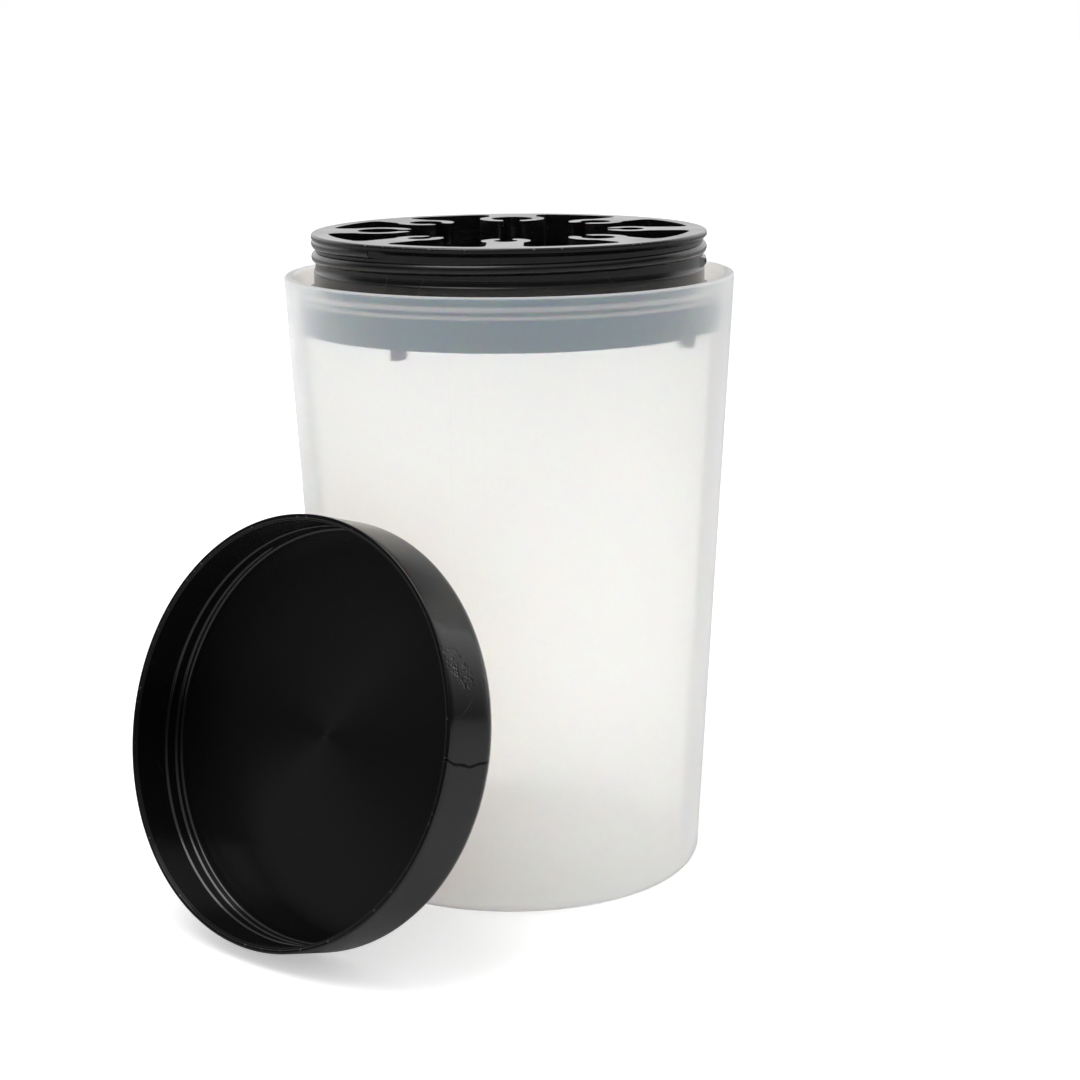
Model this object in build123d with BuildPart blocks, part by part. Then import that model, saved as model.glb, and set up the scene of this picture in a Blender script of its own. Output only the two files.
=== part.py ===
from build123d import *
import math
import os

# A paint cup for brushes and water: a tapered frosted cup, a collar that plugs into its mouth
# and holds brushes in eight clips, and a screw lid. The lid is off: it stands on its edge and
# leans its closed face on the cup.
# Millimetres, +Z up. The origin is the centre of the cup's base, on the table, and the lid
# leans on the cup's side towards -Y.

# Cup
cup_height = 127.5
cup_rim_radius = 47.0
cup_base_radius = 40.0
cup_wall = 2.0
cup_floor = 2.6
cup_foot_rounding = 3.0
cup_floor_rounding = 2.0
cup_rim_rounding = 0.45

# Scrub ribs, low on the inside of the cup's wall
scrub_rib_count = 2
scrub_rib_width = 1.7
scrub_rib_depth = 1.2
scrub_rib_height = 13.0
scrub_rib_root = 0.5
scrub_rib_first_angle = -4.0
scrub_rib_step_angle = 15.0

# Collar: its plate, threaded neck, shoulder and plug
plate_rise = 8.8
mouth_gap = 3.8
plate_lip = 1.0
plate_rounding = 0.5
thread_height = 0.8
ring_wall = 2.6
shoulder_start = 2.0
shoulder_end = 4.1
shoulder_wall = 2.0
plug_end = 11.0
plug_wall = 1.8
plug_clearance = 0.08
plug_rounding = 0.4

# Guide webs inside the plug
web_count = 4
web_thickness = 1.8
web_reach = 3.0
web_drop = 2.2
web_root = 0.3
web_first_angle = 9.0

# Brush clips: round bores in C-shaped bosses on arms, all slit towards the middle
clip_count = 8
clip_first_angle = -51.0
clip_reach = 15.2
clip_wall = 2.6
largest_bore = 9.0
bore_shares = (0.52, 0.76, 0.61, 0.72, 1.0, 0.78, 1.0, 0.52)
slit_width = 1.4
slit_growth_share = 0.25
arm_width_share = 0.74
arm_boss_fillet = 1.2
arm_ring_fillet = 2.0
prong_fillet = 0.8

# Screw thread, cut to the same pitch on the collar and in the lid
thread_pitch = 2.8
thread_half_width = 1.25
thread_sink = 0.4
run_out_sink = 0.15
collar_thread_turns = 1.72
collar_thread_start = 6.45
collar_thread_angle = 20.0
lid_thread_turns = 1.2
lid_thread_start = 4.6
lid_thread_rise = 0.75

# Lid
lid_clearance = 0.3
lid_wall = 1.25
lid_depth = 14.5
lid_top = 1.8
lid_rounding = 3.5
lid_rim_chamfer = 0.5
lid_tilt = 16.7
lean_gap = 0.3

# Heights and radii that follow from the sizes above
plate_top = cup_height + plate_rise
shoulder_top = cup_height - shoulder_start
shoulder_foot = cup_height - shoulder_end
plug_foot = cup_height - plug_end
clip_foot = shoulder_top - shoulder_wall
clip_depth = plate_top - clip_foot
plate_radius = cup_rim_radius - cup_wall - mouth_gap
neck_radius = plate_radius - thread_height
ring_inside = neck_radius - ring_wall
neck_middle = neck_radius - ring_wall / 2
clip_mouth_radius = ring_inside - clip_reach
lid_bore = plate_radius + lid_clearance
lid_radius = lid_bore + lid_wall
wall_slope = (cup_rim_radius - cup_base_radius) / cup_height


def cup_outside(height):
    """Radius of the cup's outside at a height above the table."""
    return cup_base_radius + wall_slope * height


def cup_inside(height):
    """Radius of the cup's inside at a height above the table."""
    return cup_outside(height) - cup_wall


def plug_outside(height):
    """Radius of the collar's plug, which follows the cup's tapered inside."""
    return cup_inside(height) - plug_clearance


def plug_inside(height):
    """Radius of the hollow inside the collar's plug."""
    return plug_outside(height) - plug_wall


def corner(profile, across, up):
    """The corner of a profile that lies nearest to a place in it."""
    return profile.vertices().sort_by_distance((across, up))[0]


def thread_ridge(axis_plane, turns, wall_radius, crest_radius):
    """A rounded right-hand ridge that climbs a round wall from the plane's origin, sunk into it."""
    outward = 1 if crest_radius > wall_radius else -1
    rise = abs(crest_radius - wall_radius)
    with BuildPart() as ridge:
        with BuildLine() as path:
            Helix(
                pitch=thread_pitch,
                height=thread_pitch * turns,
                radius=wall_radius,
                center=axis_plane.origin,
                direction=axis_plane.z_dir,
            )
        start = path.line @ 0
        section_plane = Plane(
            origin=start, x_dir=(start - axis_plane.origin) * outward, z_dir=path.line % 0
        )
        with BuildSketch(section_plane):
            with BuildLine():
                flank = ThreePointArc(
                    (-thread_sink, -thread_half_width), (rise, 0), (-thread_sink, thread_half_width)
                )
                Line(flank @ 1, flank @ 0)
            make_face()
        sweep(path=path.line, is_frenet=True)
        # Flats at both ends let an outside ridge run out into its wall
        if outward > 0:
            run_out = math.sqrt(2 * wall_radius * rise)
            for end, along in ((path.line @ 0, path.line % 0), (path.line @ 1, path.line % 1)):
                height = (end - axis_plane.origin).dot(axis_plane.z_dir)
                foot = axis_plane.origin + axis_plane.z_dir * height
                away = (end - foot).normalized()
                with BuildSketch(Plane(origin=end - away * run_out_sink, x_dir=along, z_dir=away)):
                    Rectangle(2 * run_out, thread_pitch)
                extrude(amount=2 * rise, mode=Mode.SUBTRACT)
    return ridge.part


os.makedirs("parts", exist_ok=True)


# Cup: a tapered wall on a flat floor, with a rounded foot
with BuildPart() as cup:
    with BuildSketch(Plane.XZ) as cup_profile:
        with BuildLine():
            Polyline(
                (0, 0),
                (cup_base_radius, 0),
                (cup_rim_radius, cup_height),
                (cup_inside(cup_height), cup_height),
                (cup_inside(cup_floor), cup_floor),
                (0, cup_floor),
                close=True,
            )
        make_face()
        fillet(corner(cup_profile, cup_base_radius, 0), radius=cup_foot_rounding)
        fillet(corner(cup_profile, cup_inside(cup_floor), cup_floor), radius=cup_floor_rounding)
        fillet(corner(cup_profile, cup_rim_radius, cup_height), radius=cup_rim_rounding)
        fillet(corner(cup_profile, cup_inside(cup_height), cup_height), radius=cup_rim_rounding)
    revolve(axis=Axis.Z)

    # Scrub ribs stand on the floor and back onto the wall
    rib_inner = cup_inside(cup_floor) - scrub_rib_depth
    rib_outer = cup_inside(cup_floor + scrub_rib_height) + scrub_rib_root
    with BuildSketch(Plane.XY.offset(cup_floor - scrub_rib_root)):
        for index in range(scrub_rib_count):
            angle = scrub_rib_first_angle + index * scrub_rib_step_angle
            with PolarLocations((rib_inner + rib_outer) / 2, 1, start_angle=angle):
                Rectangle(rib_outer - rib_inner, scrub_rib_width)
    extrude(amount=scrub_rib_height + scrub_rib_root)
cup.part.label = "cup"
export_step(cup.part, "parts/cup.step")


# Collar: threaded neck, shoulder and plug as one turned shape, with the clips inside it
collar_thread_plane = Plane.XY.offset(plate_top - collar_thread_start)
collar_ridge = thread_ridge(collar_thread_plane, collar_thread_turns, neck_radius, plate_radius)
with BuildPart() as collar:
    with BuildSketch(Plane.XZ) as collar_profile:
        with BuildLine():
            Polyline(
                (neck_middle, plate_top),
                (plate_radius, plate_top),
                (plate_radius, plate_top - plate_lip),
                (neck_radius, plate_top - plate_lip - thread_height),
                (neck_radius, shoulder_top),
                (plug_outside(shoulder_foot), shoulder_foot),
                (plug_outside(plug_foot), plug_foot),
                (plug_inside(plug_foot), plug_foot),
                (plug_inside(shoulder_foot), shoulder_foot - shoulder_wall),
                (neck_radius, clip_foot),
                (neck_middle, clip_foot),
                close=True,
            )
        make_face()
        fillet(corner(collar_profile, plate_radius, plate_top), radius=plate_rounding)
        fillet(corner(collar_profile, plug_outside(plug_foot), plug_foot), radius=plug_rounding)
    revolve(axis=Axis.Z)

    # The plan of the clips: a ring with eight arms, each ending in a boss
    with BuildSketch(Plane.XY.offset(plate_top)) as clip_plan:
        Circle(neck_middle + thread_sink)
        Circle(ring_inside, mode=Mode.SUBTRACT)
        for index, bore_share in enumerate(bore_shares):
            angle = clip_first_angle + index * 360 / clip_count
            bore_radius = largest_bore * bore_share / 2
            boss_radius = bore_radius + clip_wall
            boss_place = clip_mouth_radius + bore_radius
            arm_length = neck_middle - boss_place
            with PolarLocations(boss_place, 1, start_angle=angle):
                Circle(boss_radius)
            with PolarLocations(boss_place + arm_length / 2, 1, start_angle=angle):
                Rectangle(arm_length, 2 * boss_radius * arm_width_share)
        ring_corners = [v for v in clip_plan.vertices() if v.center().length > ring_inside - clip_wall / 2]
        ring_corners = [v for v in ring_corners if v.center().length < ring_inside + thread_sink]
        boss_corners = [v for v in clip_plan.vertices() if v.center().length < ring_inside - clip_wall / 2]
        fillet(ring_corners, radius=arm_ring_fillet)
        fillet(boss_corners, radius=arm_boss_fillet)
        for index, bore_share in enumerate(bore_shares):
            angle = clip_first_angle + index * 360 / clip_count
            bore_radius = largest_bore * bore_share / 2
            boss_place = clip_mouth_radius + bore_radius
            slit_length = boss_place - clip_mouth_radius + 2 * clip_wall
            with PolarLocations(boss_place, 1, start_angle=angle):
                Circle(bore_radius, mode=Mode.SUBTRACT)
            with PolarLocations(boss_place - slit_length / 2, 1, start_angle=angle):
                Rectangle(slit_length, slit_width + slit_growth_share * 2 * bore_radius, mode=Mode.SUBTRACT)
        fillet(
            [v for v in clip_plan.vertices() if v.center().length < clip_mouth_radius - clip_wall / 2],
            radius=prong_fillet,
        )
    extrude(amount=-clip_depth)

    # Webs inside the plug, a little longer than it
    web_outer = max(plug_inside(plug_foot), plug_inside(shoulder_foot)) + web_root
    web_foot = plug_foot - web_drop
    with BuildSketch(Plane.XY.offset(web_foot)):
        with PolarLocations(web_outer - web_reach / 2, web_count, start_angle=web_first_angle):
            Rectangle(web_reach, web_thickness)
    extrude(amount=shoulder_foot + web_root - web_foot)
    add(collar_ridge, rotation=(0, 0, collar_thread_angle))
collar.part.label = "collar"
export_step(collar.part, "parts/collar.step")


# Lid: it stands on the rounded edge of its closed face, tilted back onto the cup's wall
tilt_sine = math.sin(math.radians(lid_tilt))
tilt_cosine = math.cos(math.radians(lid_tilt))
wall_cosine = math.cos(math.atan(wall_slope))
edge_circle = lid_radius - lid_rounding
edge_top = lid_rounding + 2 * edge_circle * tilt_cosine
lean_place = -cup_outside(edge_top) - (lid_rounding + lean_gap) / wall_cosine
face_place = lean_place + lid_rounding * tilt_cosine - edge_circle * tilt_sine
face_height = lid_rounding + edge_circle * tilt_cosine - lid_rounding * tilt_sine
face_centre = (0, face_place, face_height)
lid_plane = Plane(origin=face_centre, x_dir=(1, 0, 0), z_dir=(0, -tilt_cosine, tilt_sine))
lid_section = Plane(origin=face_centre, x_dir=(0, tilt_sine, tilt_cosine), z_dir=(1, 0, 0))
lid_axis = Axis(face_centre, lid_plane.z_dir)
lid_thread_plane = lid_plane.offset(lid_depth - lid_thread_start - thread_pitch * lid_thread_turns)
lid_ridge = thread_ridge(lid_thread_plane, lid_thread_turns, lid_bore, lid_bore - lid_thread_rise)
with BuildPart() as lid:
    with BuildSketch(lid_section) as lid_profile:
        with BuildLine():
            Polyline(
                (0, 0),
                (lid_radius, 0),
                (lid_radius, lid_depth),
                (lid_bore, lid_depth),
                (lid_bore, lid_top),
                (0, lid_top),
                close=True,
            )
        make_face()
        fillet(corner(lid_profile, lid_radius, 0), radius=lid_rounding)
        fillet(corner(lid_profile, lid_bore, lid_top), radius=lid_rounding - lid_wall)
        chamfer(corner(lid_profile, lid_bore, lid_depth), length=lid_rim_chamfer)
    revolve(axis=lid_axis)
    add(lid_ridge)
lid.part.label = "lid"
export_step(lid.part, "parts/lid.step")
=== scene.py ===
# %% [markdown]
# # A paint cup with its lid off
#
# The real object is a cup for rinsing brushes: a frosted cup moulded from polypropylene, a
# glossy black collar that plugs into its mouth and holds brushes in eight slit clips, and a
# glossy black screw lid that leans on the cup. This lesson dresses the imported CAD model. The
# CAD keeps the sizes, so every piece made here goes exactly where the CAD says.
#
# Lengths are in metres, because that is what Blender and the frame use. Sizes that are
# easier to read in millimetres are multiplied by MM.

# %% Load the frame
import math

import bpy
import numpy as np
from mathutils import Matrix, Vector


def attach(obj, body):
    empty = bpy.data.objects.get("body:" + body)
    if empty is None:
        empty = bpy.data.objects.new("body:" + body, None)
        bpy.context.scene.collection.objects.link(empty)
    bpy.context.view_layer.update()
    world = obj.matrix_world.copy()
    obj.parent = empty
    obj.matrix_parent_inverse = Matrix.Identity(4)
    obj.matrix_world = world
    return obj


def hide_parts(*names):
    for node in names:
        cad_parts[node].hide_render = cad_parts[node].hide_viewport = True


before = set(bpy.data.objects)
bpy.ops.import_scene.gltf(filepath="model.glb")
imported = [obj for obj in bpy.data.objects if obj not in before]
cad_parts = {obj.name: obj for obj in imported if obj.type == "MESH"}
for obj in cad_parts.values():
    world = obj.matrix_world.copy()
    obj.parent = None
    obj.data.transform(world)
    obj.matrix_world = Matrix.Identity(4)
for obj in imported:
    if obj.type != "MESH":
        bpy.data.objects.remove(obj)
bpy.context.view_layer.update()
MM = 0.001
print("CAD nodes:", sorted(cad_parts))

# %% [markdown]
# ## The camera
#
# The outlines of the cup, its rim and the collar say where the photograph was taken from:
# about half a metre away, a little above the collar, looking 13 degrees down. A long lens
# from there keeps the cup's sides nearly parallel, as they are in the photograph. The camera
# is set with a matrix made from its own three directions, because that also takes the small
# roll that a camera held by hand has.

# %% The camera
CAMERA_AZIMUTH = math.radians(40.5)
CAMERA_DISTANCE = 480 * MM
CAMERA_HEIGHT = 178.9 * MM
CAMERA_YAW = -0.01227
CAMERA_PITCH = 0.2235
CAMERA_ROLL = -0.009
CAMERA_LENS = 76.28

turn = Matrix.Rotation(CAMERA_AZIMUTH, 3, "Z")
aim = turn @ Matrix.Rotation(CAMERA_YAW, 3, "Z")
forward = aim @ Vector((0, math.cos(CAMERA_PITCH), -math.sin(CAMERA_PITCH)))
level = aim @ Vector((1, 0, 0))
upright = level.cross(forward)
right = math.cos(CAMERA_ROLL) * level + math.sin(CAMERA_ROLL) * upright
up = math.cos(CAMERA_ROLL) * upright - math.sin(CAMERA_ROLL) * level

camera_data = bpy.data.cameras.new("camera")
camera_data.lens = CAMERA_LENS
camera_data.sensor_width = 36
camera_data.clip_end = 100
camera = bpy.data.objects.new("camera", camera_data)
bpy.context.scene.collection.objects.link(camera)
place = turn @ Vector((0, -CAMERA_DISTANCE, CAMERA_HEIGHT))
axes = Matrix((right, up, -forward)).transposed().to_4x4()
camera.matrix_world = Matrix.Translation(place) @ axes
bpy.context.scene.camera = camera
print("camera at", [round(x, 3) for x in place])

# %% [markdown]
# ## Helpers for materials
#
# A material here is always one Principled shader, with nodes that work out what changes over
# the surface. A few small helpers keep the cells short. The first adds a node and fills its
# inputs from plain numbers or other sockets, and the others build on it.


# %% Helpers for materials
def add_node(tree, kind, inputs=None, **settings):
    """Adds a node, sets its properties, and fills inputs, each a number, tuple or socket."""
    node = tree.nodes.new(kind)
    for name, value in settings.items():
        setattr(node, name, value)
    for name, value in (inputs or {}).items():
        if isinstance(value, bpy.types.NodeSocket):
            tree.links.new(value, node.inputs[name])
        else:
            node.inputs[name].default_value = value
    return node


def calculate(tree, operation, *values, **settings):
    """The output of a Math node on one to three numbers or sockets."""
    inputs = dict(enumerate(values))
    return add_node(tree, "ShaderNodeMath", inputs, operation=operation, **settings).outputs[0]


def mix_colours(tree, factor, first, second):
    """The colour between two colours, each a tuple or a socket."""
    node = add_node(tree, "ShaderNodeMix", {"Factor": factor}, data_type="RGBA")
    for index, colour in ((6, first), (7, second)):
        if isinstance(colour, bpy.types.NodeSocket):
            tree.links.new(colour, node.inputs[index])
        else:
            node.inputs[index].default_value = (*colour, 1)
    return node.outputs[2]


def stretch(tree, value, low, high, to_low=0.0, to_high=1.0):
    """Maps a value from one range to another smoothly, and holds it at the ends."""
    inputs = {
        "Value": value, "From Min": low, "From Max": high, "To Min": to_low, "To Max": to_high,
    }
    node = add_node(tree, "ShaderNodeMapRange", inputs, interpolation_type="SMOOTHSTEP")
    return node.outputs["Result"]


def start_material(name, **values):
    """A material with one Principled shader. Returns the material, its tree and the shader."""
    material = bpy.data.materials.new(name)
    material.use_nodes = True
    tree = material.node_tree
    shader = tree.nodes["Principled BSDF"]
    for socket, value in values.items():
        shader.inputs[socket.replace("_", " ")].default_value = value
    return material, tree, shader


def start_group(name, inputs, outputs):
    """A shader node group with named float and vector sockets. Returns it and its two ends."""
    group = bpy.data.node_groups.new(name, "ShaderNodeTree")
    for socket, kind in inputs.items():
        group.interface.new_socket(socket, in_out="INPUT", socket_type=kind)
    for socket, kind in outputs.items():
        group.interface.new_socket(socket, in_out="OUTPUT", socket_type=kind)
    source = group.nodes.new("NodeGroupInput")
    sink = group.nodes.new("NodeGroupOutput")
    return group, source.outputs, sink.inputs


def use_group(tree, group, inputs):
    """Places a node group in a material with its own values."""
    node = tree.nodes.new("ShaderNodeGroup")
    node.node_tree = group
    for name, value in inputs.items():
        if isinstance(value, bpy.types.NodeSocket):
            tree.links.new(value, node.inputs[name])
        else:
            node.inputs[name].default_value = value
    return node.outputs


# %% [markdown]
# ## Wear that all three pieces share
#
# Moulded plastic that is handled gets the same marks whatever its colour: hairline scratches
# in all directions, specks of dust, nicks along its edges, and a slow change of gloss where
# hands and cloths have been. Each is a node group, made once and placed in each material with
# its own values. All but the haze read flat coordinates in millimetres. A scratch could be a
# stretched noise, but that makes smears. Here each cell of a Voronoi pattern may hold one
# scratch: a short curved stroke through the cell's own point, turned by the cell's own colour.


# %% Wear that all three pieces share
FLOAT, VECTOR = "NodeSocketFloat", "NodeSocketVector"
FULL_TURN = 2 * math.pi


def parts_of(tree, vector):
    """The x, y and z of a vector or the red, green and blue of a colour."""
    return add_node(tree, "ShaderNodeSeparateXYZ", {0: vector}).outputs


def stroke(tree, offset, length, width, bend):
    """1 on a stroke along x through 0: |y + bend x^2| < width and |x| < length, softly."""
    x, y = parts_of(tree, offset)[:2]
    curved = calculate(tree, "MULTIPLY_ADD", calculate(tree, "MULTIPLY", x, x), bend, y)
    line = stretch(tree, calculate(tree, "ABSOLUTE", curved), 0, width, 1, 0)
    ends = stretch(tree, calculate(tree, "ABSOLUTE", x), 0, length, 1, 0)
    return calculate(tree, "MULTIPLY", line, ends)


scratches, source, sink = start_group(
    "hairline_scratches",
    {"Vector": VECTOR, "Cell": FLOAT, "Share": FLOAT, "Width": FLOAT},
    {"Mask": FLOAT},
)
layers = []
for shrink, shift in ((1.0, 0.0), (0.62, 37.0)):
    cell = calculate(scratches, "MULTIPLY", source["Cell"], shrink)
    shifted = add_node(
        scratches, "ShaderNodeVectorMath", {0: source["Vector"], 1: (shift, shift, 0)}
    ).outputs["Vector"]
    cells = add_node(
        scratches, "ShaderNodeTexVoronoi",
        {"Vector": shifted, "Scale": calculate(scratches, "DIVIDE", 1.0, cell)},
        voronoi_dimensions="2D",
    )
    offset = add_node(
        scratches, "ShaderNodeVectorMath", {0: shifted, 1: cells.outputs["Position"]},
        operation="SUBTRACT",
    ).outputs["Vector"]
    turned, kept, curl = parts_of(scratches, cells.outputs["Color"])
    offset = add_node(
        scratches, "ShaderNodeVectorRotate",
        {"Vector": offset, "Angle": calculate(scratches, "MULTIPLY", turned, FULL_TURN)},
        rotation_type="Z_AXIS",
    ).outputs["Vector"]
    bend = calculate(scratches, "DIVIDE", calculate(scratches, "SUBTRACT", curl, 0.5), cell)
    length = calculate(scratches, "MULTIPLY", cell, 0.6)
    line = stroke(scratches, offset, length, source["Width"], bend)
    chosen = calculate(scratches, "LESS_THAN", kept, source["Share"])
    layers.append(calculate(scratches, "MULTIPLY", line, chosen))
scratches.links.new(calculate(scratches, "MAXIMUM", *layers), sink["Mask"])

specks, source, sink = start_group(
    "dust_specks",
    {"Vector": VECTOR, "Cell": FLOAT, "Share": FLOAT, "Size": FLOAT},
    {"Mask": FLOAT},
)
cells = add_node(
    specks, "ShaderNodeTexVoronoi",
    {"Vector": source["Vector"], "Scale": calculate(specks, "DIVIDE", 1.0, source["Cell"])},
    voronoi_dimensions="2D",
)
kept, large = parts_of(specks, cells.outputs["Color"])[:2]
size = calculate(specks, "MULTIPLY", source["Size"], stretch(specks, large, 0, 1, 0.4, 1.2))
away = calculate(specks, "MULTIPLY", cells.outputs["Distance"], source["Cell"])
dot = calculate(specks, "SUBTRACT", 1.0, calculate(specks, "DIVIDE", away, size), use_clamp=True)
chosen = calculate(specks, "LESS_THAN", kept, source["Share"])
specks.links.new(calculate(specks, "MULTIPLY", dot, chosen), sink["Mask"])

nicks, source, sink = start_group(
    "edge_nicks",
    {"Along": FLOAT, "Across": FLOAT, "Cell": FLOAT, "Share": FLOAT, "Size": FLOAT},
    {"Mask": FLOAT},
)
cells = add_node(
    nicks, "ShaderNodeTexVoronoi",
    {"W": source["Along"], "Scale": calculate(nicks, "DIVIDE", 1.0, source["Cell"])},
    voronoi_dimensions="1D",
)
kept, large = parts_of(nicks, cells.outputs["Color"])[:2]
size = calculate(nicks, "MULTIPLY", source["Size"], stretch(nicks, large, 0, 1, 0.5, 1.5))
away = calculate(nicks, "MULTIPLY", cells.outputs["Distance"], source["Cell"])
away = calculate(nicks, "ADD", away, calculate(nicks, "ABSOLUTE", source["Across"]))
dot = calculate(nicks, "SUBTRACT", 1.0, calculate(nicks, "DIVIDE", away, size), use_clamp=True)
chosen = calculate(nicks, "LESS_THAN", kept, source["Share"])
nicks.links.new(calculate(nicks, "MULTIPLY", dot, chosen), sink["Mask"])

handling, source, sink = start_group(
    "handling_haze",
    {"Vector": VECTOR, "Scale": FLOAT},
    {"Haze": FLOAT, "Ripple": FLOAT},
)
broad = add_node(
    handling, "ShaderNodeTexNoise",
    {"Vector": source["Vector"], "Scale": source["Scale"], "Detail": 4, "Roughness": 0.6},
)
fine_scale = calculate(handling, "MULTIPLY", source["Scale"], 30)
fine = add_node(
    handling, "ShaderNodeTexNoise",
    {"Vector": source["Vector"], "Scale": fine_scale, "Detail": 2, "Roughness": 0.5},
)
handling.links.new(stretch(handling, broad.outputs[0], 0.35, 0.7), sink["Haze"])
handling.links.new(fine.outputs[0], sink["Ripple"])
print("node groups:", [g.name for g in bpy.data.node_groups])

# %% [markdown]
# ## Turned shapes
#
# The cup and the lid are turned shapes: a profile swept round an axis. Blender's Screw
# modifier would do that, but it can't add what isn't round, such as a thread or a rib. So
# the surface is worked out as a function of two parameters, how far along the profile and how
# far round, and anything that isn't round is a small change of the radius there.


# %% Turned shapes
def arc(centre, radius, start, stop, steps):
    """Points of an arc: centre + radius (cos a, sin a), with a from start to stop in degrees."""
    angles = np.radians(np.linspace(start, stop, steps))
    return np.c_[centre[0] + radius * np.cos(angles), centre[1] + radius * np.sin(angles)]


def run(start, stop, steps):
    """Evenly spaced points on a straight line, without the last one."""
    share = np.linspace(0, 1, steps, endpoint=False)[:, None]
    return np.array(start) * (1 - share) + np.array(stop) * share


def smooth_step(value, low, high):
    """0 below low, 1 above high, and 3t^2 - 2t^3 between them."""
    share = np.clip((value - low) / (high - low), 0, 1)
    return share * share * (3 - 2 * share)


def turned_mesh(name, radius, height, angles, frame_matrix):
    """A closed mesh from a profile swept round an axis.

    A point is radius (cos a, sin a) across the axis and height along it. The two grids give
    radius and height for each step of the profile (rows) and each angle (columns). The first
    and the last row become single points on the axis, so the mesh is closed. The UV map has
    the angle along U and the length of the profile along V, in shares.
    """
    rows, columns = radius.shape
    ring = np.stack(
        [radius * np.cos(angles), radius * np.sin(angles), height], axis=-1
    )[1:-1].reshape(-1, 3)
    ends = np.array([[0, 0, height[0].mean()], [0, 0, height[-1].mean()]])
    points = np.concatenate([ring, ends]) @ np.array(frame_matrix.to_3x3()).T
    points = (points + np.array(frame_matrix.translation)).astype(np.float32)

    row, column = np.mgrid[0:rows - 3, 0:columns]
    following = (column + 1) % columns
    quads = np.stack(
        [row * columns + column, row * columns + following,
         (row + 1) * columns + following, (row + 1) * columns + column],
        axis=-1,
    ).reshape(-1, 4)
    around = np.arange(columns)
    ahead = (around + 1) % columns
    first, last = len(ring), len(ring) + 1
    far_row = (rows - 3) * columns
    first_fan = np.stack([np.full(columns, first), ahead, around], axis=-1)
    last_fan = np.stack([np.full(columns, last), far_row + around, far_row + ahead], axis=-1)

    mesh = bpy.data.meshes.new(name)
    loops = np.concatenate([quads.ravel(), first_fan.ravel(), last_fan.ravel()])
    counts = np.concatenate([np.full(len(quads), 4), np.full(2 * columns, 3)])
    mesh.vertices.add(len(points))
    mesh.vertices.foreach_set("co", points.ravel())
    mesh.loops.add(len(loops))
    mesh.loops.foreach_set("vertex_index", loops.astype(np.int32))
    mesh.polygons.add(len(counts))
    mesh.polygons.foreach_set("loop_start", (np.cumsum(counts) - counts).astype(np.int32))
    mesh.polygons.foreach_set("use_smooth", np.ones(len(counts), bool))

    share_round = np.append(angles - angles[0], FULL_TURN) / FULL_TURN
    steps = np.hypot(np.diff(radius[:, 0]), np.diff(height[:, 0]))
    share_along = np.concatenate([[0], np.cumsum(steps)]) / steps.sum()
    u_quads = np.stack([share_round[column], share_round[column + 1]], axis=-1)[..., [0, 1, 1, 0]]
    v_quads = np.stack([share_along[row + 1], share_along[row + 2]], axis=-1)[..., [0, 0, 1, 1]]
    u_fan = np.stack([share_round[around], share_round[around + 1]], axis=-1)
    middle = u_fan.mean(axis=1)
    u = np.concatenate([
        u_quads.ravel(),
        np.stack([middle, u_fan[:, 1], u_fan[:, 0]], axis=-1).ravel(),
        np.stack([middle, u_fan[:, 0], u_fan[:, 1]], axis=-1).ravel(),
    ])
    edge = np.ones(columns)
    v = np.concatenate([
        v_quads.ravel(),
        np.stack([0 * edge, share_along[1] * edge, share_along[1] * edge], axis=-1).ravel(),
        np.stack([edge, share_along[-2] * edge, share_along[-2] * edge], axis=-1).ravel(),
    ])
    layer = mesh.uv_layers.new(name="round_and_along")
    layer.uv.foreach_set("vector", np.stack([u, v], axis=-1).astype(np.float32).ravel())
    mesh.update()
    mesh.validate()
    piece = bpy.data.objects.new(name, mesh)
    bpy.context.scene.collection.objects.link(piece)
    print(name, "has", len(points), "points and", 2 * len(quads) + 2 * columns, "triangles")
    return piece


def face_middles(piece):
    """The middle of each face of a piece, in millimetres."""
    middles = np.empty(3 * len(piece.data.polygons), np.float32)
    piece.data.polygons.foreach_get("center", middles)
    return middles.reshape(-1, 3) / MM


# %% [markdown]
# ## The lid's shape
#
# The real lid is one black moulding: a flat closed face with a rounded edge, a skirt, a lip,
# and inside it a rounded right-hand thread ridge of 1.55 turns close to the flat bottom. The
# profile below goes from the middle of the closed face, over the outside and the lip, down
# the inner wall and back to the middle of the bottom. The ridge makes the inner radius
# smaller where the wall's height is near the helix at that angle.

# %% The lid's shape
LID_TILT = math.radians(16.7)
LID_FACE_CENTRE = Vector((0, -56.0524, 40.0888))
LID_RADIUS = 42.75
LID_BORE = 41.5
LID_DEPTH = 14.5
LID_TOP = 1.8
LID_ROUNDING = 3.5
LID_INNER_ROUNDING = 0.7
LID_LIP_ROUNDING = 0.22
LID_LIP_STEP = 0.45
LID_STEP_DEPTH = 0.3
STEP_ROUNDING = 0.12
RIDGE_ANGLE = math.radians(120)
RIDGE_START = 2.6
RIDGE_PITCH = 2.8
RIDGE_TURNS = 1.55
RIDGE_HALF_WIDTH = 0.5
RIDGE_RISE = 0.4
RIDGE_ZONE = 8.2

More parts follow.
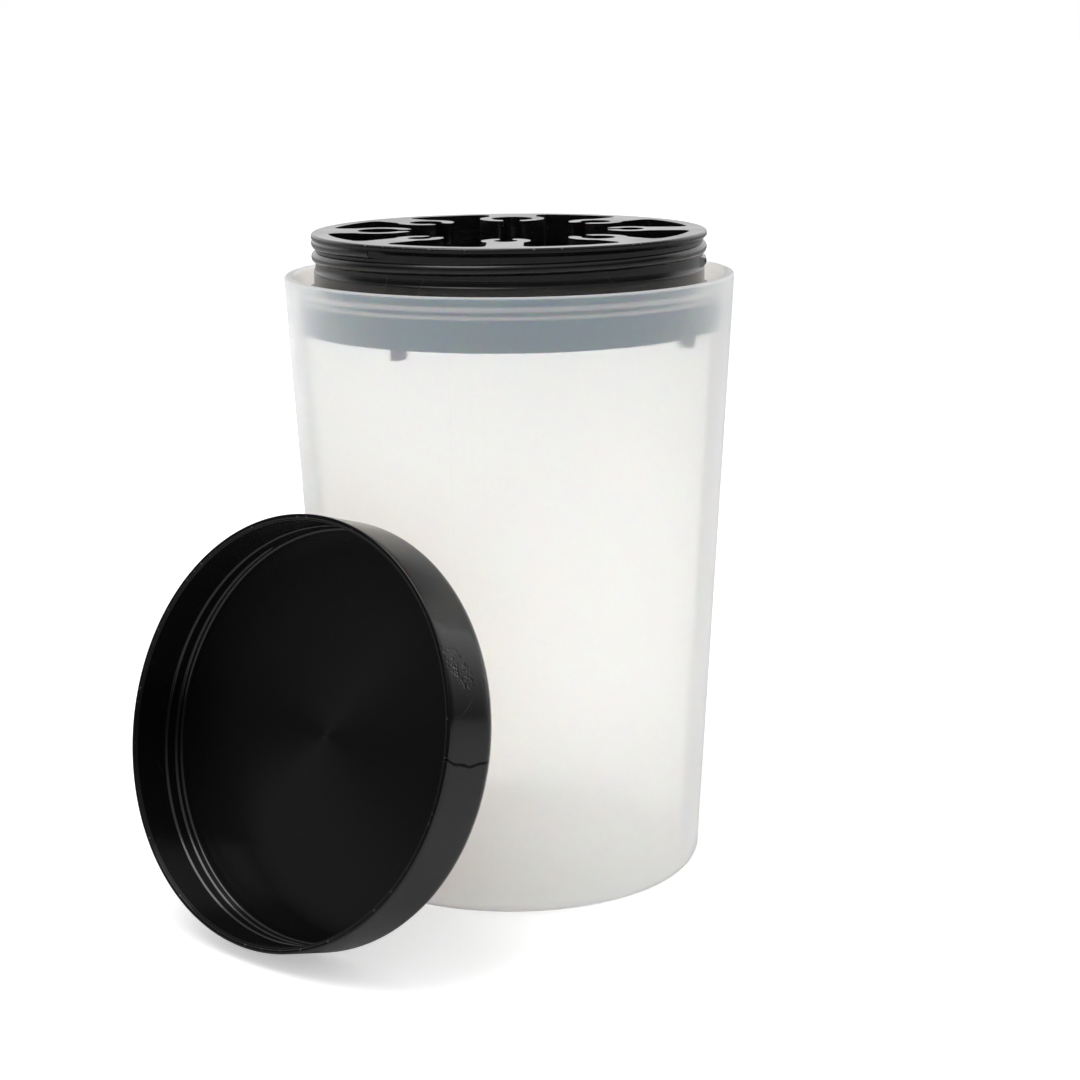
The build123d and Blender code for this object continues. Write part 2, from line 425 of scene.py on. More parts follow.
step_floor = LID_DEPTH - LID_STEP_DEPTH
lip_corner = (LID_RADIUS - LID_LIP_ROUNDING, LID_DEPTH - LID_LIP_ROUNDING)
step_corner = (LID_BORE + LID_LIP_STEP - STEP_ROUNDING, step_floor + STEP_ROUNDING)
mouth_corner = (LID_BORE + STEP_ROUNDING, step_floor - STEP_ROUNDING)
bottom_corner = (LID_BORE - LID_INNER_ROUNDING, LID_TOP + LID_INNER_ROUNDING)
lid_profile = np.concatenate([
    run((0, 0), (LID_RADIUS - LID_ROUNDING, 0), 8),
    arc((LID_RADIUS - LID_ROUNDING, LID_ROUNDING), LID_ROUNDING, -90, 0, 20),
    run((LID_RADIUS, LID_ROUNDING), (LID_RADIUS, LID_DEPTH - LID_LIP_ROUNDING), 8)[1:],
    arc(lip_corner, LID_LIP_ROUNDING, 0, 90, 7),
    arc((LID_BORE + LID_LIP_STEP + 0.1, LID_DEPTH - 0.1), 0.1, 90, 180, 4),
    arc(step_corner, STEP_ROUNDING, 0, -90, 4),
    arc(mouth_corner, STEP_ROUNDING, 90, 180, 4),
    run((LID_BORE, step_floor - 2 * STEP_ROUNDING), (LID_BORE, RIDGE_ZONE), 4),
    run((LID_BORE, RIDGE_ZONE), (LID_BORE, LID_TOP + LID_INNER_ROUNDING), 76),
    arc(bottom_corner, LID_INNER_ROUNDING, 0, -90, 10),
    run((LID_BORE - LID_INNER_ROUNDING, LID_TOP), (0, LID_TOP), 12)[1:],
    [(0, LID_TOP)],
])
lid_angles = np.linspace(-math.pi, math.pi, 540, endpoint=False)
lid_radius = np.repeat(lid_profile[:, :1], len(lid_angles), axis=1)
lid_height = np.repeat(lid_profile[:, 1:], len(lid_angles), axis=1)


def ridge_rise(height, angle):
    """Height of the thread ridge above the wall: a rounded bump along a helix.

    The helix climbs one pitch a turn, from its start angle and height. Across it the bump is
    (1 - (d / half width)^2)^1.5, and it fades in and out over its first and last degrees.
    """
    rise = np.zeros(np.broadcast(height, angle).shape)
    for lap in (-1, 0, 1):
        along = angle - RIDGE_ANGLE + FULL_TURN * (lap + 1)
        across = (height - RIDGE_START - RIDGE_PITCH * along / FULL_TURN) / RIDGE_HALF_WIDTH
        end = FULL_TURN * RIDGE_TURNS
        fade = smooth_step(along, 0, 0.1) * (1 - smooth_step(along, end - 0.1, end))
        rise = np.maximum(rise, np.clip(1 - across ** 2, 0, 1) ** 1.5 * fade)
    return RIDGE_RISE * rise


on_inner_wall = (lid_radius > LID_BORE - 0.01) & (lid_radius < LID_BORE + 0.01)
lid_radius = lid_radius - np.where(on_inner_wall, ridge_rise(lid_height, lid_angles), 0)

lid_axis = Vector((0, -math.cos(LID_TILT), math.sin(LID_TILT)))
lid_up = Vector((0, math.sin(LID_TILT), math.cos(LID_TILT)))
lid_axes = Matrix((Vector((1, 0, 0)), lid_up, lid_axis)).transposed().to_4x4()
lid_frame = Matrix.Translation(LID_FACE_CENTRE * MM) @ lid_axes
lid = turned_mesh("lid_shell", lid_radius * MM, lid_height * MM, lid_angles, lid_frame)
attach(lid, "lid")
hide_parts("lid")

# %% [markdown]
# ## The cup's shape
#
# The cup is moulded in one piece too: a wall 2 mm thick that tapers from 47 mm at the rim to
# 40 mm at the base, a flat floor, and two short scrub ribs low on the inside. The profile
# goes from the middle of the base, up the outside, over the rim and down the inside. The
# ribs make the inner radius smaller over a narrow range of angles.

# %% The cup's shape
CUP_HEIGHT = 127.5
CUP_RIM_RADIUS = 47.0
CUP_BASE_RADIUS = 40.0
CUP_WALL = 2.0
CUP_FLOOR = 2.6
CUP_FOOT_ROUNDING = 3.0
CUP_FLOOR_ROUNDING = 2.0
CUP_RIM_ROUNDING = 0.45
BEADS_FROM = CUP_HEIGHT - 4.8
RIB_WIDTH = 1.7
RIB_DEPTH = 1.2
RIB_TOP = 15.6
RIB_ANGLES = (-4.0, 11.0)
RIB_ROWS, CORNER_ROWS, FLOOR_ROWS = 30, 12, 16

slope = (CUP_RIM_RADIUS - CUP_BASE_RADIUS) / CUP_HEIGHT
lean = math.degrees(math.atan(slope))


def cup_outside(height):
    """Radius of the cup's outside: it grows evenly with height."""
    return CUP_BASE_RADIUS + slope * height


def rounding_centre(height, radius, side):
    """Centre of a rounding that touches a level line at height and the leaning wall."""
    wall = cup_outside(height) - (CUP_WALL if side < 0 else 0)
    return wall - side * radius / math.cos(math.atan(slope))


foot_centre = (rounding_centre(CUP_FOOT_ROUNDING, CUP_FOOT_ROUNDING, 1), CUP_FOOT_ROUNDING)
rim_height = CUP_HEIGHT - CUP_RIM_ROUNDING
rim_out = (rounding_centre(rim_height, CUP_RIM_ROUNDING, 1), rim_height)
rim_in = (rounding_centre(rim_height, CUP_RIM_ROUNDING, -1), rim_height)
floor_height = CUP_FLOOR + CUP_FLOOR_ROUNDING
floor_centre = (
    cup_outside(floor_height) - CUP_WALL - CUP_FLOOR_ROUNDING / math.cos(math.atan(slope)),
    floor_height,
)
foot_arc = arc(foot_centre, CUP_FOOT_ROUNDING, -90, -lean, 16)
rim_out_arc = arc(rim_out, CUP_RIM_ROUNDING, -lean, 90, 9)
rim_in_arc = arc(rim_in, CUP_RIM_ROUNDING, 90, 180 - lean, 9)
floor_arc = arc(floor_centre, CUP_FLOOR_ROUNDING, -lean, -90, CORNER_ROWS)
cup_profile = np.concatenate([
    run((0, 0), foot_arc[0], 10),
    foot_arc,
    run(foot_arc[-1], (cup_outside(BEADS_FROM), BEADS_FROM), 24)[1:],
    run((cup_outside(BEADS_FROM), BEADS_FROM), rim_out_arc[0], 32),
    rim_out_arc,
    rim_in_arc,
    run(rim_in_arc[-1], (cup_outside(RIB_TOP + 1) - CUP_WALL, RIB_TOP + 1), 20)[1:],
    run((cup_outside(RIB_TOP + 1) - CUP_WALL, RIB_TOP + 1), floor_arc[0], RIB_ROWS),
    floor_arc,
    run(floor_arc[-1], (0, CUP_FLOOR), FLOOR_ROWS)[1:],
    [(0, CUP_FLOOR)],
])
rib_edges = np.concatenate([
    np.radians(angle) + np.linspace(-1, 1, 25) * 1.5 * RIB_WIDTH / CUP_BASE_RADIUS / 2
    for angle in RIB_ANGLES
])
cup_angles = np.linspace(-math.pi, math.pi, 480, endpoint=False)
near_rib = (np.abs(cup_angles[:, None] - rib_edges).min(axis=1) < math.radians(0.4))
cup_angles = np.sort(np.concatenate([cup_angles[~near_rib], rib_edges]))
cup_radius = np.repeat(cup_profile[:, :1], len(cup_angles), axis=1)
cup_height = np.repeat(cup_profile[:, 1:], len(cup_angles), axis=1)


def rib_share(height, angle):
    """1 on a scrub rib and 0 off it, with edges a fifth of a millimetre soft."""
    offset = np.min([np.abs(angle - math.radians(a)) for a in RIB_ANGLES], axis=0)
    across = 1 - smooth_step(offset * CUP_BASE_RADIUS, RIB_WIDTH / 2 - 0.2, RIB_WIDTH / 2 + 0.1)
    return across * (1 - smooth_step(height, RIB_TOP - 0.25, RIB_TOP))


low_rows = RIB_ROWS + CORNER_ROWS + FLOOR_ROWS
inside = np.arange(len(cup_profile))[:, None] >= len(cup_profile) - low_rows
rib_face = cup_outside(CUP_FLOOR) - CUP_WALL - RIB_DEPTH
share = rib_share(cup_height, cup_angles) * inside * (cup_radius > rib_face)
cup_radius = cup_radius * (1 - share) + rib_face * share

cup = turned_mesh("cup_shell", cup_radius * MM, cup_height * MM, cup_angles, Matrix.Identity(4))
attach(cup, "cup")
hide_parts("cup")

# %% [markdown]
# ## The ledge at the foot of the neck
#
# Below the thread the collar's neck swells by a third of a millimetre, in a hollow curve that
# ends in a fine rounded ledge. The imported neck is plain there, so the ledge is a thin closed
# ring round it, sunk a little into the neck and into the shoulder below. Its profile goes up
# the outside, over the ledge and along the hollow curve, and closes inside the neck.

# %% The ledge at the foot of the neck
NECK_RADIUS = 40.4
LEDGE_FOOT = 125.4
LEDGE_TOP = 128.7
LEDGE_RISE = 0.35
LEDGE_ROUNDING = 0.2
LEDGE_SUNK = 0.2
HOLLOW_HEIGHT = 1.8
HOLLOW_SUNK = 0.02
LEDGE_COLUMNS = 400

ledge_centre = (NECK_RADIUS + LEDGE_RISE - LEDGE_ROUNDING, LEDGE_TOP - LEDGE_ROUNDING)
ledge_arc = arc(ledge_centre, LEDGE_ROUNDING, 0, 70, 7)
climb = np.linspace(0, 1, 12)[1:]
hollow = np.c_[
    NECK_RADIUS + (ledge_arc[-1, 0] - NECK_RADIUS) * (1 - climb) ** 3 - HOLLOW_SUNK * climb,
    ledge_arc[-1, 1] + HOLLOW_HEIGHT * climb,
]
ledge_profile = np.concatenate([
    run((NECK_RADIUS + LEDGE_RISE, LEDGE_FOOT), ledge_arc[0], 6),
    ledge_arc,
    hollow,
    [(NECK_RADIUS - LEDGE_SUNK, hollow[-1, 1]), (NECK_RADIUS - LEDGE_SUNK, LEDGE_FOOT)],
])


def ring_mesh(name, profile, columns):
    """A closed ring: a closed profile of radius and height swept round z, in millimetres."""
    angles = np.linspace(0, FULL_TURN, columns, endpoint=False)
    radius, height = profile[:, :1], np.repeat(profile[:, 1:], columns, axis=1)
    points = np.stack([radius * np.cos(angles), radius * np.sin(angles), height], axis=-1)
    row, column = np.mgrid[0:len(profile), 0:columns]
    above, ahead = (row + 1) % len(profile), (column + 1) % columns
    quads = np.stack(
        [row * columns + column, row * columns + ahead,
         above * columns + ahead, above * columns + column],
        axis=-1,
    ).reshape(-1, 4)
    mesh = bpy.data.meshes.new(name)
    mesh.from_pydata((points.reshape(-1, 3) * MM).tolist(), [], quads.tolist())
    mesh.polygons.foreach_set("use_smooth", np.ones(len(quads), bool))
    mesh.update()
    piece = bpy.data.objects.new(name, mesh)
    bpy.context.scene.collection.objects.link(piece)
    print(name, "has", 2 * len(quads), "triangles")
    return piece


ledge = ring_mesh("collar_ledge", ledge_profile, LEDGE_COLUMNS)
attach(ledge, "collar")

# %% [markdown]
# ## Flat coordinates in millimetres
#
# The wear groups read flat coordinates. On a turned piece these are the angle times the
# radius, and the height. They could come from a UV map, but the collar keeps its CAD mesh,
# which has none, so all three pieces work them out from the Object coordinates. A Mapping
# node first moves the piece's axis to z, because the lid leans.


# %% Flat coordinates in millimetres
def turned_coordinates(tree, radius, location=(0, 0, 0), rotation=(0, 0, 0)):
    """Own x, y, z of a turned piece in millimetres, and its side rolled out flat."""
    own = add_node(
        tree, "ShaderNodeMapping",
        {
            "Vector": add_node(tree, "ShaderNodeTexCoord").outputs["Object"],
            "Location": location,
            "Rotation": rotation,
            "Scale": (MM, MM, MM),
        },
        vector_type="TEXTURE",
    ).outputs[0]
    x, y, z = parts_of(tree, own)
    along = calculate(tree, "MULTIPLY", calculate(tree, "ARCTAN2", y, x), radius)
    rolled = add_node(tree, "ShaderNodeCombineXYZ", {"X": along, "Y": z}).outputs[0]
    return own, rolled


def from_axis(tree, own):
    """Distance from the piece's own axis in millimetres."""
    x, y = parts_of(tree, own)[:2]
    squares = calculate(tree, "MULTIPLY_ADD", x, x, calculate(tree, "MULTIPLY", y, y))
    return calculate(tree, "SQRT", squares)


def facing_up(tree, own, rolled):
    """The own coordinates where the surface faces up, and the rolled ones elsewhere."""
    upward = parts_of(tree, add_node(tree, "ShaderNodeTexCoord").outputs["Normal"])[2]
    level = calculate(tree, "GREATER_THAN", calculate(tree, "ABSOLUTE", upward), 0.7)
    node = add_node(tree, "ShaderNodeMix", {"Factor": level}, data_type="VECTOR")
    tree.links.new(rolled, node.inputs[4])
    tree.links.new(own, node.inputs[5])
    return node.outputs[1]


WAVE_RADIANS_PER_MM = 1.3


def mark(tree, flat, place, turned, length, width, bend=0.0, wave=0.0):
    """One listed stroke on flat coordinates, with its middle at place, turned in degrees."""
    node = add_node(
        tree, "ShaderNodeMapping",
        {"Vector": flat, "Location": (*place, 0), "Rotation": (0, 0, math.radians(turned))},
        vector_type="TEXTURE",
    )
    offset = node.outputs[0]
    if wave:
        x, y = parts_of(tree, offset)[:2]
        swing = calculate(tree, "SINE", calculate(tree, "MULTIPLY", x, WAVE_RADIANS_PER_MM))
        swing = calculate(tree, "MULTIPLY", swing, wave)
        offset = add_node(
            tree, "ShaderNodeCombineXYZ", {"X": x, "Y": calculate(tree, "ADD", y, swing)}
        ).outputs[0]
    return stroke(tree, offset, length, width, bend)


def strongest(tree, *masks):
    """The largest of several masks."""
    result = masks[0]
    for other in masks[1:]:
        result = calculate(tree, "MAXIMUM", result, other)
    return result


def add_bump(tree, height, distance, strength=1.0):
    """The normal of a relief given as a height of 0 to 1 and its depth in metres."""
    return add_node(
        tree, "ShaderNodeBump", {"Height": height, "Strength": strength, "Distance": distance}
    ).outputs[0]


# %% [markdown]
# ## Frosted polypropylene
#
# The cup is neither clear nor white. What touches the wall from inside, such as the collar's
# plug, shows through it blurred and bluish, and what is far behind it doesn't show at all.
# That is what a milky volume does: it scatters blue light back and lets the warmer rest
# through. So the shader is part rough glass, which lets shapes through, and part
# subsurface scattering with a longer reach for red than for blue. The glass part bends light
# very little, because light that is trapped in the wall by bending makes its sides too dark.
# Seen at a slant, the light has further to go through the wall, so there the glass part is
# rougher, and a sheen lifts the wall's edges, as its fine rough surface does.
#
# Three flow lines run down the wall from where the plastic met in the mould, and a few
# scratches lie where the collar rubs.

# %% Frosted polypropylene
frosted, tree, shader = start_material(
    "frosted_polypropylene",
    Transmission_Weight=0.82,
    Subsurface_Weight=1.0,
    Subsurface_Radius=(1.0, 0.35, 0.08),
    Subsurface_Scale=0.02,
    IOR=1.05,
    Sheen_Weight=1.0,
    Sheen_Roughness=0.45,
)
own, rolled = turned_coordinates(tree, CUP_RIM_RADIUS)
haze = use_group(tree, handling, {"Vector": own, "Scale": 0.026})
fine_marks = use_group(
    tree, scratches, {"Vector": rolled, "Cell": 9.0, "Share": 0.18, "Width": 0.07}
)
dust = use_group(tree, specks, {"Vector": rolled, "Cell": 5.0, "Share": 0.12, "Size": 0.16})
along, height = parts_of(tree, rolled)[:2]
rim_nicks = use_group(
    tree, nicks,
    {
        "Along": along, "Across": calculate(tree, "SUBTRACT", height, CUP_HEIGHT),
        "Cell": 2.2, "Share": 0.3, "Size": 0.28,
    },
)
by_hand = strongest(
    tree,
    mark(tree, rolled, (-52.3, 122.0), 74, 3.4, 0.09),
    mark(tree, rolled, (-50.8, 120.5), 98, 2.6, 0.07),
    mark(tree, rolled, (-46.5, 116.8), 12, 5.2, 0.07, bend=0.02),
    mark(tree, rolled, (-43.5, 115.6), 4, 3.8, 0.06),
)
drift = add_node(
    tree, "ShaderNodeTexNoise", {"W": height, "Scale": 0.05}, noise_dimensions="1D"
).outputs[0]
wander = calculate(tree, "MULTIPLY_ADD", drift, 2.0, along)
flow_lines = []
for at, share in ((52.0, 1.0), (47.6, 0.6), (45.2, 0.5)):
    away = calculate(tree, "ABSOLUTE", calculate(tree, "ADD", wander, at))
    flow_lines.append(calculate(tree, "MULTIPLY", share, stretch(tree, away, 0, 0.35, 1, 0)))
flow_lines = strongest(tree, *flow_lines)
scuffs = strongest(tree, fine_marks["Mask"], by_hand)
pale = mix_colours(tree, haze["Haze"], (0.985, 0.977, 0.963), (0.975, 0.967, 0.953))
pale = mix_colours(tree, calculate(tree, "MULTIPLY", flow_lines, 0.5), pale, (0.9, 0.91, 0.9))
specked = mix_colours(tree, strongest(tree, dust["Mask"], rim_nicks["Mask"]), pale, (1, 1, 1))
tree.links.new(specked, shader.inputs["Base Color"])
slant = add_node(tree, "ShaderNodeLayerWeight").outputs["Facing"]
blur = stretch(tree, slant, 0, 0.3, 0.5, 0.9)
blur = calculate(tree, "SUBTRACT", blur, stretch(tree, slant, 0.5, 0.9, 0, 0.5))
blur = calculate(tree, "MULTIPLY_ADD", haze["Haze"], 0.05, blur)
tree.links.new(calculate(tree, "MULTIPLY_ADD", scuffs, 0.2, blur), shader.inputs["Roughness"])
relief = calculate(tree, "MULTIPLY", scuffs, -0.6)
relief = calculate(tree, "MULTIPLY_ADD", haze["Ripple"], 0.5, relief)
relief = calculate(tree, "MULTIPLY_ADD", rim_nicks["Mask"], 1.5, relief)
relief = calculate(tree, "MULTIPLY_ADD", flow_lines, 0.5, relief)
tree.links.new(add_bump(tree, relief, 0.04 * MM, 0.6), shader.inputs["Normal"])
cup.data.materials.append(frosted)

# %% [markdown]
# Two soft bright lines run round the wall below the rim, where the plastic is thicker and so
# milkier. They could be drawn as a colour, but a wall that shows what is behind it can't get
# brighter by colour alone. They are faces of the wall with a milkier copy of the material, in
# two steps: a wide faint band, and a narrower stronger one within it.

# %% The milky lines below the rim
MILKY_RADIUS = (0.3, 0.25, 0.2)
MILKY_BANDS = (
    ("frosted_thick", 0.72, ((2.3, 1.3), (3.9, 1.0))),
    ("frosted_thicker", 0.6, ((2.3, 0.6), (3.9, 0.45))),
)
MILKY_RIM = 0.3

middles = face_middles(cup)
depth = CUP_HEIGHT - middles[:, 2]
outside = np.hypot(*middles[:, :2].T) > CUP_RIM_RADIUS - CUP_WALL / 2
slots = np.zeros(len(depth), np.int32)
for name, transmission, lines in MILKY_BANDS:
    milky = frosted.copy()
    milky.name = name
    shader = milky.node_tree.nodes["Principled BSDF"]
    shader.inputs["Transmission Weight"].default_value = transmission
    shader.inputs["Subsurface Radius"].default_value = MILKY_RADIUS
    cup.data.materials.append(milky)
    on_line = np.any([np.abs(depth - at) < wide / 2 for at, wide in lines], axis=0)
    slots[(on_line & outside) | (depth < MILKY_RIM)] = len(cup.data.materials) - 1
cup.data.polygons.foreach_set("material_index", slots)
print("milky faces:", int((slots > 0).sum()))

# %% [markdown]
# ## Glossy black plastic
#
# The collar and the lid are a black plastic that shines where the mould was polished. Black
# shows its shape only by what it reflects, so the gloss matters more than the colour. A
# scratch or a speck on it shows pale, because it scatters light where the rest mirrors a
# dark room.


# %% Glossy black plastic
BLACK = (0.0022, 0.0022, 0.0025)
SCUFFED = (0.1, 0.1, 0.105)


def black_plastic(tree, shader, flat, gloss, pale_marks, relief, wear=1.0):
    """Fills in a black moulded plastic.

    The flat coordinates place its dust and scratches, gloss is its lowest roughness, and
    pale_marks and relief are what this piece adds to its colour and its height. Wear scales
    the ripple and the scratches, and most of the dust.
    """
    haze = use_group(tree, handling, {"Vector": flat, "Scale": 0.032})
    hairlines = use_group(
        tree, scratches, {"Vector": flat, "Cell": 8.0, "Share": 0.2, "Width": 0.06}
    )
    dust = use_group(tree, specks, {"Vector": flat, "Cell": 4.0, "Share": 0.16, "Size": 0.14})
    faint = calculate(tree, "MULTIPLY", hairlines["Mask"], 0.22 * wear)
    dusty = calculate(tree, "MULTIPLY", dust["Mask"], 0.25 + 0.5 * wear)
    worn = strongest(tree, faint, dusty, pale_marks)
    tree.links.new(mix_colours(tree, worn, BLACK, SCUFFED), shader.inputs["Base Color"])
    rough = stretch(tree, haze["Haze"], 0, 1, gloss, gloss + 0.07 * wear)
    tree.links.new(calculate(tree, "MULTIPLY_ADD", worn, 0.3, rough), shader.inputs["Roughness"])
    height = calculate(tree, "MULTIPLY_ADD", haze["Ripple"], 0.12 * wear, relief)
    height = calculate(tree, "MULTIPLY_ADD", hairlines["Mask"], -0.25 * wear, height)
    tree.links.new(add_bump(tree, height, 0.05 * MM), shader.inputs["Normal"])


# %% [markdown]
# ## The collar's black
#
# The collar is handled most: brushes scrape its clips and the lid's thread rubs its own. Its
# plate has nicks along the outer edge, and its neck has faint level marks from the lid.

# %% The collar's black
PLATE_TOP = 136.3
PLATE_RADIUS = 41.2
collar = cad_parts["collar"]
collar_black, tree, shader = start_material("black_collar", IOR=1.5)
own, rolled = turned_coordinates(tree, PLATE_RADIUS)
flat = facing_up(tree, own, rolled)
along, height = parts_of(tree, rolled)[:2]
out = from_axis(tree, own)
to_edge = calculate(
    tree, "ADD",
    calculate(tree, "ABSOLUTE", calculate(tree, "SUBTRACT", out, PLATE_RADIUS - 0.1)),
    calculate(tree, "ABSOLUTE", calculate(tree, "SUBTRACT", height, PLATE_TOP - 0.1)),
)
edge = use_group(
    tree, nicks, {"Along": along, "Across": to_edge, "Cell": 2.6, "Share": 0.35, "Size": 0.4}
)
level_noise = add_node(
    tree, "ShaderNodeTexNoise",
    {
        "Vector": add_node(
            tree, "ShaderNodeMapping", {"Vector": rolled, "Scale": (0.05, 5.0, 1)}
        ).outputs[0],
        "Scale": 1.0, "Detail": 3,
    },
).outputs[0]
rubbed = calculate(tree, "MULTIPLY", stretch(tree, level_noise, 0.62, 0.72), 0.1)
black_plastic(
    tree, shader, flat, 0.2, strongest(tree, edge["Mask"], rubbed),
    calculate(tree, "MULTIPLY", level_noise, 0.4),
)
collar.data.materials.clear()
collar.data.materials.append(collar_black)
ledge.data.materials.append(collar_black)

# %% [markdown]
# ## The lid's black
#
# The lid's skirt carries the marks that the photograph shows: a thin dark flow line across
# it, a patch of small pits with a dull smear above it, a wavy scratch low down, and nicks
# along the lip. Each is placed by its angle and its height above the closed face.

# %% The lid's black
lid_black, tree, shader = start_material("black_lid", IOR=1.5)
LID_PLACE = {"location": tuple(LID_FACE_CENTRE * MM), "rotation": tuple(lid_axes.to_euler())}
own, rolled = turned_coordinates(tree, LID_RADIUS, **LID_PLACE)
along, height = parts_of(tree, rolled)[:2]
out = from_axis(tree, own)


def round_at(angle):
    """Millimetres along the rolled-out skirt at an angle in degrees."""
    return LID_RADIUS * math.radians(angle)


def patch(tree, flat, place, reach, turned=0.0):
    """A soft oval: 1 at place, 0 at reach along and across, turned in degrees."""
    offset = add_node(
        tree, "ShaderNodeMapping",
        {
            "Vector": flat, "Location": (*place, 0), "Scale": (*reach, 1),
            "Rotation": (0, 0, math.radians(turned)),
        },
        vector_type="TEXTURE",
    ).outputs[0]
    away = add_node(tree, "ShaderNodeVectorMath", {0: offset}, operation="LENGTH")
    return stretch(tree, away.outputs["Value"], 0, 1, 1, 0)


on_skirt = calculate(tree, "GREATER_THAN", out, LID_RADIUS - 1)
to_lip = calculate(
    tree, "ADD",
    calculate(tree, "SUBTRACT", LID_DEPTH, height),
    calculate(tree, "ABSOLUTE", calculate(tree, "SUBTRACT", out, LID_BORE + LID_LIP_STEP)),
)
lip_nicks = use_group(
    tree, nicks, {"Along": along, "Across": to_lip, "Cell": 2.6, "Share": 0.4, "Size": 0.4}
)
flow_line = mark(tree, rolled, (round_at(2.5), 9.0), 90, 30, 0.5, bend=0.03, wave=0.14)
wavy_scratch = mark(tree, rolled, (round_at(-44.5), 7.3), 60, 4.5, 0.1, wave=0.5)
lip_scratch = mark(tree, rolled, (round_at(101), 11.8), 86, 2.4, 0.09)
pit_dots = use_group(tree, specks, {"Vector": rolled, "Cell": 0.8, "Share": 0.9, "Size": 0.45})
pits = calculate(
    tree, "MULTIPLY", pit_dots["Mask"],
    patch(tree, rolled, (round_at(27.5), 10.6), (6.8, 3.4), 35),
)
smear_noise = add_node(
    tree, "ShaderNodeTexNoise", {"Vector": rolled, "Scale": 0.35, "Detail": 5, "Distortion": 1.5}
).outputs[0]
smear = calculate(
    tree, "MULTIPLY", patch(tree, rolled, (round_at(38.5), 12.2), (4.5, 2.2), 20),
    stretch(tree, smear_noise, 0.45, 0.6),
)
pale_marks = strongest(
    tree,
    calculate(tree, "MULTIPLY", lip_nicks["Mask"], 0.6),
    calculate(tree, "MULTIPLY", wavy_scratch, 0.25),
    calculate(tree, "MULTIPLY", lip_scratch, 0.3),
    calculate(tree, "MULTIPLY", smear, 0.2),
)
pale_marks = calculate(tree, "MULTIPLY", pale_marks, calculate(
    tree, "MAXIMUM", on_skirt, calculate(tree, "GREATER_THAN", out, LID_BORE - 0.2)
))
dents = calculate(tree, "MULTIPLY", on_skirt, calculate(
    tree, "MULTIPLY_ADD", pits, -3.2, calculate(tree, "MULTIPLY", flow_line, -1.0)
))
black_plastic(tree, shader, rolled, 0.13, pale_marks, dents)
tree.links.new(calculate(tree, "MULTIPLY", flow_line, on_skirt), shader.inputs["Metallic"])
lid.data.materials.append(lid_black)

# %% [markdown]
# ## The turned bottom of the lid
#
# The mould for the lid's flat bottom was turned on a lathe, and its fine rings are copied by
# the plastic. Rings too fine to see still stretch a highlight across themselves, which makes
# the two soft sweeps that meet in the middle. An anisotropic shader does that when its
# tangent follows the rings, which is the U direction of the lid's UV map, and its anisotropy
# is turned a quarter, to lie across them.

# %% The turned bottom of the lid
ringed, tree, shader = start_material(
    "turned_black", IOR=1.45, Specular_IOR_Level=0.45, Anisotropic=0.85, Anisotropic_Rotation=0.25
)
own, rolled = turned_coordinates(tree, LID_RADIUS, **LID_PLACE)
out = from_axis(tree, own)
rings = add_node(
    tree, "ShaderNodeTexNoise", {"W": out, "Scale": 1.6, "Detail": 2, "Roughness": 0.6},
    noise_dimensions="1D",
).outputs[0]
gate = stretch(tree, out, 0.5, 1.1, 1, 0)
around = add_node(tree, "ShaderNodeTangent", direction_type="UV_MAP", uv_map="round_and_along")
tree.links.new(around.outputs[0], shader.inputs["Tangent"])
black_plastic(
    tree, shader, own, 0.25, calculate(tree, "MULTIPLY", gate, 0.02),
    calculate(tree, "MULTIPLY_ADD", rings, 0.1, calculate(tree, "MULTIPLY", gate, 0.3)),
    wear=0.02,
)
lid.data.materials.append(ringed)
middles = (face_middles(lid) - np.array(LID_FACE_CENTRE)) @ np.array(lid_axes.to_3x3())
on_disc = (np.abs(middles[:, 2] - LID_TOP) < 0.02) & (np.hypot(*middles[:, :2].T) < LID_BORE)
lid.data.polygons.foreach_set("material_index", on_disc.astype(np.int32))
print("materials:", [m.name for m in bpy.data.materials], "disc faces:", int(on_disc.sum()))

# %% [markdown]
# ## Floor and light
#
# The photograph has a white ground and a soft light from above and behind, with a dark room
# in front: the pale cup glows, and the black walls that face the camera stay black. Two worlds
# in one do that. Mirror rays, which only glossy reflections send, see a bright wall behind the
# object, a soft ceiling and a dark room in front, over a greyer floor. All other rays see an
# almost even light. The camera itself sees plain white.
#
# The floor glows a little for rays that come through the cup, because its shadow and its base
# would darken the frosted wall more than they do in the photograph.

# %% Floor and light
FLOOR_SIZE = 30.0
FLOOR_DROP = 0.02 * MM
FLOOR_GLOW_TO_CAMERA = 0.42
FLOOR_GLOW_THROUGH_CUP = 0.26
corners = np.array([(-1, -1), (1, -1), (1, 1), (-1, 1)]) * FLOOR_SIZE / 2
floor_mesh = bpy.data.meshes.new("floor")
floor_mesh.from_pydata([(x, y, -FLOOR_DROP) for x, y in corners], [], [(0, 1, 2, 3)])
floor = bpy.data.objects.new("floor", floor_mesh)
bpy.context.scene.collection.objects.link(floor)


def kinds_of_ray(tree):
    """1 or 0 for a camera ray, a ray through something, and a ray mirrored off a surface."""
    rays = add_node(tree, "ShaderNodeLightPath").outputs
    through = rays["Is Transmission Ray"]
    not_through = calculate(tree, "SUBTRACT", 1.0, through)
    mirrored = calculate(tree, "MULTIPLY", rays["Is Glossy Ray"], not_through)
    return rays["Is Camera Ray"], through, mirrored


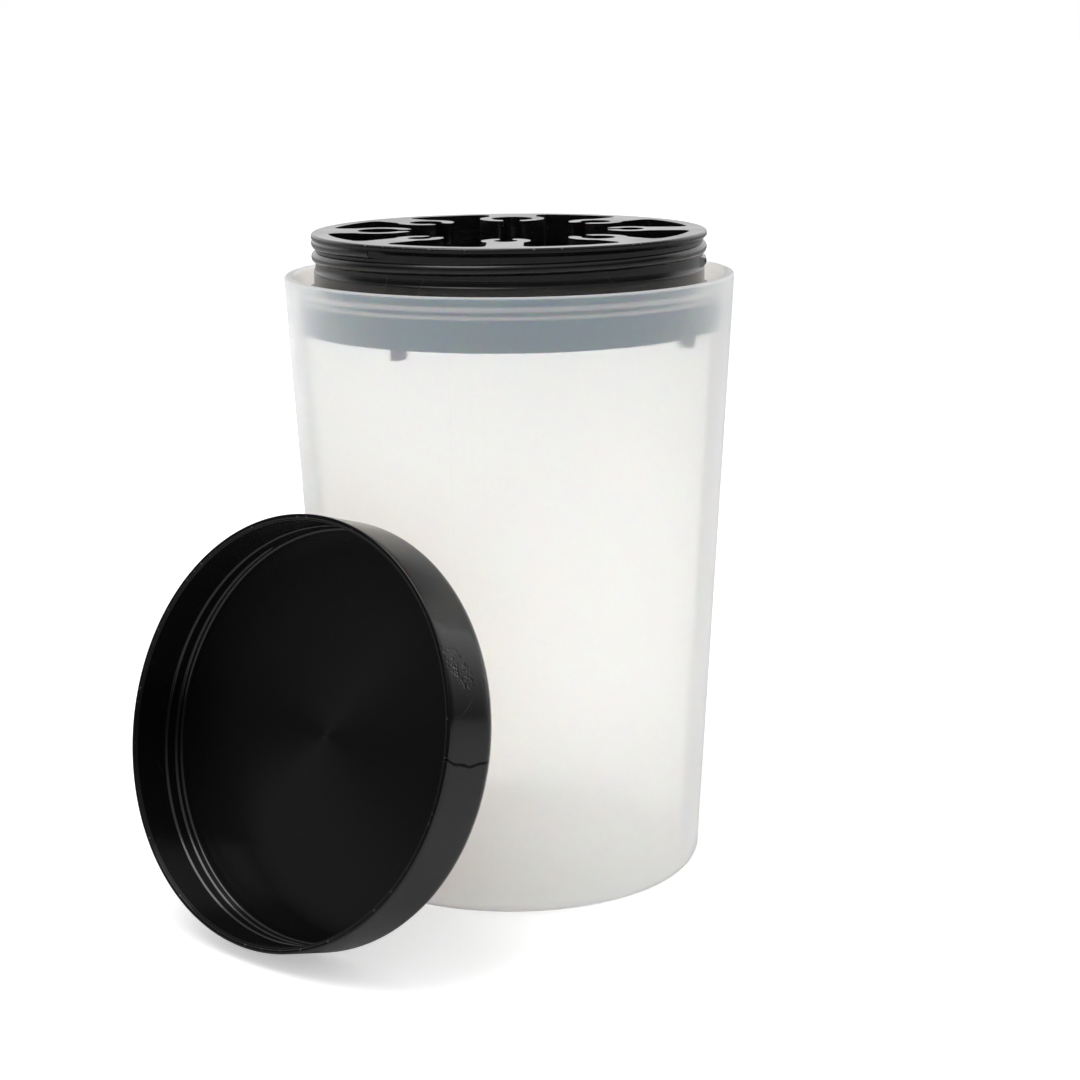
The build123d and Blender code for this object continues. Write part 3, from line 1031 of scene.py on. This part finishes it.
floor_material, tree, shader = start_material(
    "pale_floor", Roughness=0.9, Specular_IOR_Level=0.1
)
seen, through, mirror_ray = kinds_of_ray(tree)
floor_colour = mix_colours(tree, mirror_ray, (0.94, 0.94, 0.94), (0.58, 0.58, 0.58))
tree.links.new(floor_colour, shader.inputs["Base Color"])
glow = calculate(tree, "MULTIPLY", through, FLOOR_GLOW_THROUGH_CUP)
glow = calculate(tree, "MULTIPLY_ADD", seen, FLOOR_GLOW_TO_CAMERA, glow)
shader.inputs["Emission Color"].default_value = (1, 1, 1, 1)
tree.links.new(glow, shader.inputs["Emission Strength"])
floor_mesh.materials.append(floor_material)

world = bpy.data.worlds.new("studio")
bpy.context.scene.world = world
world.use_nodes = True
tree = world.node_tree
tree.nodes.clear()
direction = add_node(tree, "ShaderNodeTexCoord").outputs["Generated"]
front = turn @ Vector((0, -1, 0))
facing = add_node(
    tree, "ShaderNodeVectorMath", {0: direction, 1: front}, operation="DOT_PRODUCT"
).outputs["Value"]
lighting = stretch(tree, facing, -0.6, 0.6, 0.72, 0.79)
behind = stretch(tree, facing, -0.6, -0.15, 1.2, 0.07)
above = stretch(tree, parts_of(tree, direction)[2], 0.3, 0.9, 0.07, 0.7)
mirrored = calculate(tree, "MAXIMUM", behind, above)
seen, _, mirror_ray = kinds_of_ray(tree)
strength = add_node(
    tree, "ShaderNodeMix", {"Factor": mirror_ray, "A": lighting, "B": mirrored}
).outputs[0]
strength = add_node(tree, "ShaderNodeMix", {"Factor": seen, "A": strength, "B": 1.0}).outputs[0]
background = add_node(tree, "ShaderNodeBackground", {"Color": (1, 1, 1, 1), "Strength": strength})
add_node(tree, "ShaderNodeOutputWorld", {"Surface": background.outputs[0]})

lamp_data = bpy.data.lights.new("overhead", "AREA")
lamp_data.shape = "RECTANGLE"
lamp_data.size, lamp_data.size_y = 0.5, 0.5
lamp_data.energy = 3
lamp = bpy.data.objects.new("overhead", lamp_data)
lamp_place = turn @ Vector((-0.25, -0.2, 0.9))
towards_middle = (Vector((0, -0.02, 0.07)) - lamp_place).to_track_quat("-Z", "Y")
lamp.matrix_world = Matrix.Translation(lamp_place) @ towards_middle.to_matrix().to_4x4()
bpy.context.scene.collection.objects.link(lamp)
bpy.context.scene.view_settings.view_transform = "Standard"
